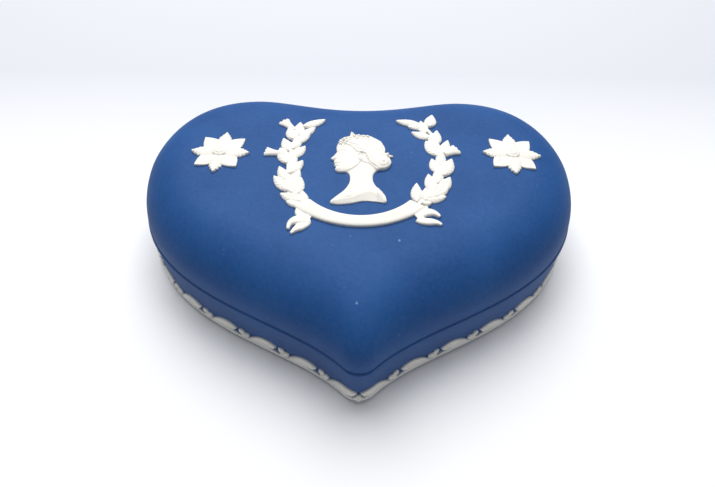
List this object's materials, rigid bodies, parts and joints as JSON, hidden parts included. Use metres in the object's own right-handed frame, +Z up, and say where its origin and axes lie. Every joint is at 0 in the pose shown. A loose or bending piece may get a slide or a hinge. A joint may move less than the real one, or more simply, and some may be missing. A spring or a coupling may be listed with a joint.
{
  "type": "trinket box",
  "caption": "Heart-shaped stoneware trinket box: footed tray with locating lip and lift-off domed lid carrying applied white relief ornaments.",
  "frame": {"origin": "on the table under the middle of the box", "axes": "+Z up; +X to the right across the two lobes; the heart's tip points along -Y and the lobes lie at +Y"},
  "size_m": [0.1306, 0.0994, 0.0339],
  "materials": {
    "blue_stoneware": "matte, unglazed, very fine grain with a faint sheen",
    "white_relief": "matte, unglazed, thin and slightly translucent at the edges"
  },
  "bodies": {
    "tray_body": {"tray": "blue_stoneware", "tip_rosette": "white_relief", "border_right_01": "white_relief", "border_right_02": "white_relief", "border_right_03": "white_relief", "border_right_04": "white_relief", "border_right_05": "white_relief", "border_right_06": "white_relief", "border_right_07": "white_relief", "border_right_08": "white_relief", "border_right_09": "white_relief", "border_right_10": "white_relief", "border_right_11": "white_relief", "border_right_12": "white_relief", "border_right_13": "white_relief", "border_right_14": "white_relief", "border_left_01": "white_relief", "border_left_02": "white_relief", "border_left_03": "white_relief", "border_left_04": "white_relief", "border_left_05": "white_relief", "border_left_06": "white_relief", "border_left_07": "white_relief", "border_left_08": "white_relief", "border_left_09": "white_relief", "border_left_10": "white_relief", "border_left_11": "white_relief", "border_left_12": "white_relief", "border_left_13": "white_relief", "border_left_14": "white_relief"},
    "lid_body": {"lid": "blue_stoneware", "portrait_bust": "white_relief", "flower_left": "white_relief", "flower_right": "white_relief", "laurel_left": "white_relief", "laurel_right": "white_relief", "ribbon_banner": "white_relief", "ribbon_tail_left": "white_relief", "ribbon_tail_right": "white_relief"}
  },
  "joints": [
    {"name": "lid_lift", "type": "slide", "parent": "tray_body", "child": "lid_body", "axis": [0, 0, 1], "range_m": [0, 0.06]}
  ]
}
